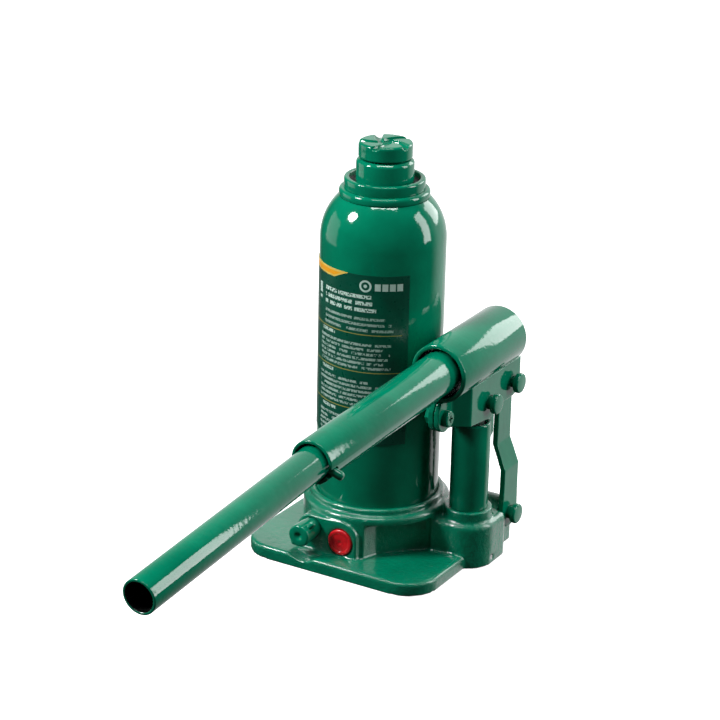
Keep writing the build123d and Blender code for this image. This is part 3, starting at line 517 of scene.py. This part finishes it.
head = {
    "outer": 18.2, "cup": 15.8, "cupDepth": 3.4, "ram": 13.05, "wiper": 14.3, "wiperHeight": 3.0,
    "stem": 14.95,
}
headFoot, headTop = (v.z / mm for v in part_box("cylinder_head"))
cupFloor = headTop - head["cupDepth"]
wiperFoot = cupFloor - head["wiperHeight"]
headForm = turnedForm([
    (head["ram"], headFoot, 0), (head["stem"], headFoot, 0.4), (head["stem"], collarHigh, 0),
    (head["outer"], collarHigh, 0.3), (head["outer"], headTop, 0.9),
    (head["cup"], headTop, 0.5), (head["cup"], cupFloor, 0.5), (head["wiper"], cupFloor, 0.2),
    (head["wiper"], wiperFoot, 0), (head["ram"], wiperFoot, 0),
])
finishPiece(headForm, "cylinderHead", "root", "green_enamel", ["cylinder_head"])

ram = {"radius": 13.0, "bore": 10.5, "thread": 9.05, "chamfer": 1.3, "nutLength": 14.0, "mouth": (0.6, 0.8)}
ramFoot, ramTop = (v.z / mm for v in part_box("ram"))
nutFoot = ramTop - ram["nutLength"]
ramForm = turnedForm([
    (ram["bore"], ramFoot, 0), (ram["radius"], ramFoot, 0.3), (ram["radius"], ramTop - ram["chamfer"], 0.6),
    (ram["radius"] - ram["chamfer"], ramTop, 0.5), (ram["thread"] + ram["mouth"][0], ramTop, 0.2),
    (ram["thread"], ramTop - ram["mouth"][1], 0.1), (ram["thread"], nutFoot, 0), (ram["bore"], nutFoot, 0),
])
finishPiece(ramForm, "liftRam", "ram", "green_enamel", ["ram"])

screw = {
    "crest": 8.95, "root": 7.3, "pitch": 3.0, "steps": 40, "shank": 8.0,
    "headRadius": 12.1, "headRound": 1.3, "grooves": 5, "firstGroove": 60.1,
    "grooveRadius": 1.8, "grooveBend": 13.0, "grooveDepth": 0.1, "grooveSweep": 74, "grooveRim": 118,
    "grooveShift": (1.2, 0.8), "dimple": 2.6, "dimpleDepth": 1.3, "clear": 0.6,
    "headHeight": 7.0, "neck": 0.4, "gap": 0.3, "voxel": 0.2, "passes": 4,
}
spigot = {"radius": 6.5, "clipDepth": 1.0, "clipStart": 0.4, "clipEnd": 1.4, "overlap": 0.2}
screwFoot, screwTop = (v.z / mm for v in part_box("extension_screw"))
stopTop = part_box("screw_stop_ring")[1].z / mm
saddleFoot = screwTop - screw["headHeight"]
# one turn of the thread, as shares of the pitch
threadProfile = ((screw["root"], 0.0), (screw["crest"], 0.30), (screw["crest"], 0.50),
                 (screw["root"], 0.80), (screw["root"], 1.0))


def threadForm(low, high):
    s = screw
    bm = bmesh.new()
    verts = [bm.verts.new((r * mm, 0, (low - s["pitch"] + share * s["pitch"]) * mm))
             for r, share in threadProfile]
    edges = [bm.edges.new(pair) for pair in zip(verts, verts[1:])]
    turns = int((high - low) / s["pitch"]) + 2
    bmesh.ops.spin(bm, geom=verts + edges, cent=(0, 0, 0), axis=(0, 0, 1),
                   dvec=(0, 0, s["pitch"] * mm / s["steps"]), angle=2 * pi * turns,
                   steps=s["steps"] * turns, use_merge=False, use_duplicate=False)
    bmesh.ops.remove_doubles(bm, verts=bm.verts[:], dist=0.01 * mm)
    for height, inner in ((low, True), (high, False)):
        geometry = bm.verts[:] + bm.edges[:] + bm.faces[:]
        bmesh.ops.bisect_plane(bm, geom=geometry, dist=0.0001 * mm, plane_co=(0, 0, height * mm),
                               plane_no=(0, 0, 1), clear_inner=inner, clear_outer=not inner)
    rims = [edge for edge in bm.edges if edge.is_boundary]
    bmesh.ops.holes_fill(bm, edges=rims, sides=0)
    bmesh.ops.recalc_face_normals(bm, faces=bm.faces[:])
    return bm


def grooveForm(angle):
    s = screw
    bm = bmesh.new()
    ring = bmesh.ops.create_circle(bm, cap_ends=True, radius=s["grooveRadius"] * mm, segments=20)
    stand = Matrix.Rotation(pi / 2, 4, "X")
    aside = Matrix.Translation((s["grooveBend"] * mm, 0, 0))
    bmesh.ops.transform(bm, matrix=aside @ stand, verts=ring["verts"])
    bmesh.ops.spin(bm, geom=bm.verts[:] + bm.edges[:] + bm.faces[:], cent=(0, 0, 0), axis=(0, 0, 1),
                   dvec=(0, 0, 0), angle=-radians(s["grooveSweep"]), steps=20, use_merge=False,
                   use_duplicate=False)
    bmesh.ops.recalc_face_normals(bm, faces=bm.faces[:])
    shiftX, shiftY = s["grooveShift"]
    inward = Matrix.Translation(Vector((shiftX - s["grooveBend"], shiftY, screwTop - s["grooveDepth"])) * mm)
    turned = Matrix.Rotation(radians(angle + s["grooveRim"]), 4, "Z")
    bmesh.ops.transform(bm, matrix=turned @ inward, verts=bm.verts[:])
    return bm


def saddleForm():
    s = screw
    form = turnedForm([
        (0, saddleFoot - s["neck"], 0), (s["shank"], saddleFoot - s["neck"], 0), (s["shank"], saddleFoot, 0),
        (s["headRadius"], saddleFoot, 0.5), (s["headRadius"], screwTop, s["headRound"]), (0, screwTop, 0),
    ], steps=120, corner=6)
    for i in range(s["grooves"]):
        form = combined(form, grooveForm(s["firstGroove"] + 360 / s["grooves"] * i), "DIFFERENCE")
    above = screwTop + s["clear"]
    cone = [(0, screwTop - s["dimpleDepth"], 0), (s["dimple"], above, 0), (0, above, 0)]
    form = combined(form, turnedForm(cone, steps=32), "DIFFERENCE")
    return softened(form, s["voxel"], s["passes"])


finishPiece(saddleForm(), "screwSaddle", "extension_screw", "green_enamel", [], sharp=180)
finishPiece(threadForm(stopTop, saddleFoot - screw["gap"]), "screwThread", "extension_screw",
            "ground_steel", ["extension_screw"], sharp=30)
clipRadius = spigot["radius"] - spigot["clipDepth"]
clipFoot, clipTop = screwFoot + spigot["clipStart"], screwFoot + spigot["clipEnd"]
spigotTop = stopTop + spigot["overlap"]
spigotForm = turnedForm([
    (0, screwFoot, 0), (spigot["radius"], screwFoot, 0.4), (spigot["radius"], clipFoot, 0),
    (clipRadius, clipFoot, 0), (clipRadius, clipTop, 0), (spigot["radius"], clipTop, 0),
    (spigot["radius"], spigotTop, 0), (0, spigotTop, 0),
])
finishPiece(spigotForm, "screwSpigot", "extension_screw", "ground_steel", [])
print("ram and screw done")

pump = {"radius": 8.9, "spigot": 8.0, "bore": 6.05, "wiper": 7.6, "wiperDepth": 4.5, "shoulder": 26.52}
pumpFoot, pumpTop = (v.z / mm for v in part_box("pump_cylinder"))
pumpAxis = Matrix.Translation((pumpX * mm, pumpY * mm, 0))
pumpForm = turnedForm([
    (pump["bore"], pumpFoot, 0), (pump["spigot"], pumpFoot, 0.3), (pump["spigot"], pump["shoulder"], 0),
    (pump["radius"], pump["shoulder"], 0.4), (pump["radius"], pumpTop, 0.9), (pump["wiper"], pumpTop, 0.3),
    (pump["wiper"], pumpTop - pump["wiperDepth"], 0), (pump["bore"], pumpTop - pump["wiperDepth"], 0),
], pumpAxis)
finishPiece(pumpForm, "pumpCylinder", "root", "green_enamel", ["pump_cylinder"])

plates = {"voxel": 0.3, "passes": 4}
for side in ("left", "right"):
    for name, body, node in (("link", "links", "link_plate"), ("cheek", "socket", "socket_cheek")):
        plateForm = softened(cadForm(f"{node}_{side}"), plates["voxel"], plates["passes"])
        finishPiece(plateForm, f"{name}_{side}", body, "green_enamel", [f"{node}_{side}"], sharp=180)

crossPin = {"radius": 1.9, "round": 1.3, "length": 21.3, "turn": 20.0}


def leaning(tilt):  # unit vector along a handle tube, towards the front
    return Vector((0, -cos(radians(tilt)), -sin(radians(tilt))))


socket = {"radius": 13.5, "wall": 2.1, "tilt": 1.0, "rear": (33.0, 102.576), "length": 58.61, "round": 0.8}
outer = {"radius": 9.6, "wall": 1.5, "tilt": 2.4, "rear": (8.0, 103.314), "length": 138.12, "round": 0.5,
         "notchWidth": 5.0, "notchDepth": 6.0}
inner = {"radius": 7.4, "wall": 1.2, "tilt": 4.75, "rear": (-106.0, 99.033), "length": 142.79, "round": 0.4}


def tubeForm(spec, steps=96):
    inside = spec["radius"] - spec["wall"]
    outline = [(inside, 0, spec["round"]), (spec["radius"], 0, spec["round"]),
               (spec["radius"], spec["length"], spec["round"]), (inside, spec["length"], spec["round"])]
    start = (pumpX, *spec["rear"])
    return turnedForm(outline, axisPlace(start, leaning(spec["tilt"])), steps)


def endOf(spec, short=0.0):
    start = Vector((pumpX, *spec["rear"]))
    return start + leaning(spec["tilt"]) * (spec["length"] - short)


def lineInside(piece, spec, finish):  # dark metal on the tube's inner face
    piece.data.materials.append(finish)
    start = Vector((pumpX, *spec["rear"])) * mm
    axis = leaning(spec["tilt"])
    reach = (spec["radius"] - spec["wall"] + 0.1) * mm
    for face in piece.data.polygons:
        away = face.center - start
        if (away - axis * away.dot(axis)).length < reach:
            face.material_index = 1


socketPiece = finishPiece(tubeForm(socket, 128), "handleSocket", "socket", "green_enamel", ["handle_socket"])


def pinDirection(tilt):  # the cross pin's right end hangs below its left end
    turn, lean = radians(crossPin["turn"]), radians(tilt)
    return Vector((cos(turn), sin(turn) * sin(lean), -sin(turn) * cos(lean)))


def notchForm():
    half = outer["notchWidth"] / 2
    length = 3 * outer["radius"]
    across = pinDirection(outer["tilt"])
    along = leaning(outer["tilt"])
    size = (length, 2 * outer["notchDepth"] - outer["notchWidth"], outer["notchWidth"])
    block = barForm(size, (length / 2, 0, 0), 0.01)
    facing = Matrix((across, along, across.cross(along))).transposed().to_4x4()
    bmesh.ops.transform(block, matrix=Matrix.Translation(endOf(outer) * mm) @ facing, verts=block.verts[:])
    start = endOf(outer, outer["notchDepth"] - half)
    rod = [(0, 0, 0), (half, 0, 0), (half, length, 0), (0, length, 0)]
    end = turnedForm(rod, axisPlace(start, across), 40)
    return combined(block, end, "UNION")


outerForm = combined(tubeForm(outer, 112), notchForm(), "DIFFERENCE")
outerPiece = finishPiece(outerForm, "handleOuterTube", "handle_outer", "green_enamel", ["handle_outer_tube"])
innerPiece = finishPiece(tubeForm(inner, 96), "handleInnerTube", "handle_inner", "green_enamel",
                         ["handle_inner_tube"])
bareInside = steelMaterial("tubeInside", (0.10, 0.11, 0.11), 1.0)
for piece, spec in ((socketPiece, socket), (outerPiece, outer), (innerPiece, inner)):
    lineInside(piece, spec, bareInside)

pinAcross = pinDirection(inner["tilt"])
pinStart = middle("handle_cross_pin") - pinAcross * crossPin["length"] / 2
crossForm = turnedForm([
    (0, 0, 0), (crossPin["radius"], 0, crossPin["round"]),
    (crossPin["radius"], crossPin["length"], crossPin["round"]), (0, crossPin["length"], 0),
], axisPlace(pinStart, pinAcross), 32)
finishPiece(crossForm, "handleCrossPin", "handle_inner", "green_enamel", ["handle_cross_pin"])
print("handle done")

pinHead = {
    "radius": 4.7, "thickness": 2.5, "under": 0.4, "round": 0.8, "end": 0.5,
    "grooveStart": 1.2, "grooveEnd": 2.1, "grooveDepth": 0.6,
}
pins = (
    ("plungerPin", "plunger_pin", "socket", 3.0),
    ("linkTopPin", "link_top_pin", "socket", 2.5),
    ("linkBasePin", "link_base_pin", "root", 3.0),
)
for name, node, body, radius in pins:
    low, high = (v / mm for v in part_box(node))
    length = high.x - low.x
    h = pinHead
    inGroove = radius - h["grooveDepth"]
    pinForm = turnedForm([
        (0, 0, 0), (radius, 0, h["end"]), (radius, h["grooveStart"], 0), (inGroove, h["grooveStart"], 0),
        (inGroove, h["grooveEnd"], 0), (radius, h["grooveEnd"], 0),
        (radius, length - h["thickness"], 0), (h["radius"], length - h["thickness"], h["under"]),
        (h["radius"], length, h["round"]), (0, length, 0),
    ], axisPlace((low.x, (low.y + high.y) / 2, (low.z + high.z) / 2), (1, 0, 0)), 64)
    finishPiece(pinForm, name, body, "green_enamel", [node])
print("pins done")

valve = {
    "radius": 5.2, "round": 1.0, "neck": 4.5, "knob": 10.8, "dimple": 2.1, "dimpleDepth": 1.3,
    "dimpleFloor": 0.5,
}
valveCentre = middle("release_valve")
valveRear, valveFront = (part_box("release_valve")[i].y / mm for i in (1, 0))


def valveForm():
    v = valve
    length = valveRear - valveFront
    knob = length - v["knob"]
    dimpleEnd = length - v["dimpleDepth"]
    return turnedForm([
        (0, 0, 0), (v["neck"], 0, 0.4), (v["neck"], knob, 0), (v["radius"], knob, 0.5),
        (v["radius"], length, v["round"]), (v["dimple"], length, 0.5), (v["dimpleFloor"], dimpleEnd, 0.3),
        (0, dimpleEnd, 0),
    ], axisPlace((valveCentre.x, valveRear, valveCentre.z), (0, -1, 0)), 72)


finishPiece(valveForm(), "releaseKnob", "release_valve", "green_enamel", ["release_valve"])
tommy = {"radius": 1.6, "length": 17.2, "turn": 49.0, "round": 1.2}
tommyDirection = Vector((cos(radians(tommy["turn"])), 0, sin(radians(tommy["turn"]))))
tommyStart = middle("release_tommy_bar") - tommyDirection * tommy["length"] / 2
tommyForm = turnedForm([
    (0, 0, 0), (tommy["radius"], 0, tommy["round"]), (tommy["radius"], tommy["length"], tommy["round"]),
    (0, tommy["length"], 0),
], axisPlace(tommyStart, tommyDirection), 32)
finishPiece(tommyForm, "releaseTommyBar", "release_valve", "green_enamel", ["release_tommy_bar"])

cap = {
    "radius": 6.2, "depth": 3.1, "round": 0.6, "rim": 4.6, "dish": 4.4, "dishDepth": 0.25,
    "dimple": 1.2, "dimpleStart": 0.2, "dimpleFloor": 0.3, "dimpleDepth": 0.6,
}
capCentre = middle("safety_valve_cap")
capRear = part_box("safety_valve_cap")[1].y / mm
capForm = turnedForm([
    (0, 0, 0), (cap["radius"], 0, 0.2), (cap["radius"], cap["depth"], cap["round"]),
    (cap["rim"], cap["depth"], 0.2), (cap["dish"], cap["depth"] - cap["dishDepth"], 0.2),
    (cap["dimple"], cap["depth"] - cap["dimpleStart"], 0.3),
    (cap["dimpleFloor"], cap["depth"] - cap["dimpleDepth"], 0.1), (0, cap["depth"] - cap["dimpleDepth"], 0),
], axisPlace((capCentre.x, capRear, capCentre.z), (0, -1, 0)), 64)
finishPiece(capForm, "safetyCap", "root", "red_plastic", ["safety_valve_cap"])
print("valves done")

# the CAD pieces that stay get the same finishes
for name, node in frame["nodes"].items():
    slotName = next(s["material_slot"] for s in frame["record"]["subparts"] if s["node"] == name)
    node.data.materials.clear()
    node.data.materials.append(finishes[slotName])

studio = {
    "target": (0, 0, 95), "azimuth": 29.9, "elevation": 20.96, "roll": 1.492, "distance": 1099.08,
    "sensor": 36, "lens": 120.9, "shiftX": -0.0284, "shiftY": -0.0128, "clipEnd": 50,
    "floor": 12000, "floorHeight": -0.2, "floorGlow": 0.75,
}


def studioSpot(azimuth, elevation, distance):  # azimuth 0 is in front, towards -Y
    a, e = radians(azimuth), radians(elevation)
    away = Vector((sin(a) * cos(e), -cos(a) * cos(e), sin(e)))
    return Vector(studio["target"]) * mm + away * distance * mm


camera = bpy.data.objects.new("camera", bpy.data.cameras.new("camera"))
bpy.context.scene.collection.objects.link(camera)
camera.location = studioSpot(studio["azimuth"], studio["elevation"], studio["distance"])
look = Vector(studio["target"]) * mm - camera.location
facing = look.to_track_quat("-Z", "Y").to_matrix().to_4x4()
camera.matrix_world = (Matrix.Translation(camera.location) @ facing
                       @ Matrix.Rotation(radians(studio["roll"]), 4, "Z"))
camera.data.sensor_width = studio["sensor"]
camera.data.lens = studio["lens"]
camera.data.shift_x = studio["shiftX"]
camera.data.shift_y = studio["shiftY"]
camera.data.clip_end = studio["clipEnd"]
bpy.context.scene.camera = camera

floorMesh = bmesh.new()
bmesh.ops.create_grid(floorMesh, x_segments=1, y_segments=1, size=studio["floor"] * mm / 2)
floor = scratchObject(floorMesh, "floor")
paper = Shop("palePaper", Base_Color=(0.86, 0.86, 0.86, 1), Roughness=0.7,
             Emission_Color=(1, 1, 1, 1), Emission_Strength=studio["floorGlow"])
floor.data.materials.append(paper.material)
floor.location.z = studio["floorHeight"] * mm
floor.visible_glossy = False  # the paint shows the dim side of the room, not the paper
floor.visible_diffuse = False  # and no light comes back up from it

# name, shape, azimuth, elevation, distance, width, height, watts
softBoxes = (
    ("topBox", "RECTANGLE", 30, 76, 1300, 900, 200, 9),
    ("keyBox", "ELLIPSE", -47, 38, 1100, 300, 300, 13),
    ("leftBox", "RECTANGLE", -78, 4, 1000, 600, 560, 1.2),
    ("rightBox", "RECTANGLE", 116, 20, 1000, 300, 800, 6.0),
    ("bandBox", "RECTANGLE", 158, 20, 1100, 500, 500, 4.5),
)
for name, shape, azimuth, elevation, distance, width, height, watts in softBoxes:
    lamp = bpy.data.lights.new(name, "AREA")
    lamp.shape = shape
    lamp.size = width * mm
    lamp.size_y = height * mm
    lamp.energy = watts
    box = bpy.data.objects.new(name, lamp)
    bpy.context.scene.collection.objects.link(box)
    box.location = studioSpot(azimuth, elevation, distance)
    aim = Vector(studio["target"]) * mm - box.location
    box.rotation_euler = aim.to_track_quat("-Z", "Y").to_euler()

# the room is dim round the camera and bright behind the jack
room = {"brightAzimuth": 184, "dim": 0.03, "bright": 0.9, "from": 0.50, "to": 0.82}
world = bpy.data.worlds.new("room")
bpy.context.scene.world = world
world.use_nodes = True
nodes, links = world.node_tree.nodes, world.node_tree.links
direction = nodes.new("ShaderNodeTexCoord")
toward = nodes.new("ShaderNodeVectorMath")
toward.operation = "DOT_PRODUCT"
brightSide = radians(room["brightAzimuth"])
toward.inputs[1].default_value = (sin(brightSide), -cos(brightSide), 0)
shade = nodes.new("ShaderNodeMapRange")
shade.interpolation_type = "SMOOTHSTEP"
roomSockets = {"From Min": "from", "From Max": "to", "To Min": "dim", "To Max": "bright"}
for socketName, key in roomSockets.items():
    shade.inputs[socketName].default_value = room[key]
links.new(direction.outputs["Generated"], toward.inputs[0])
links.new(toward.outputs["Value"], shade.inputs["Value"])
links.new(shade.outputs["Result"], nodes["Background"].inputs["Color"])
bpy.context.scene.view_settings.view_transform = "Standard"
print("studio done")
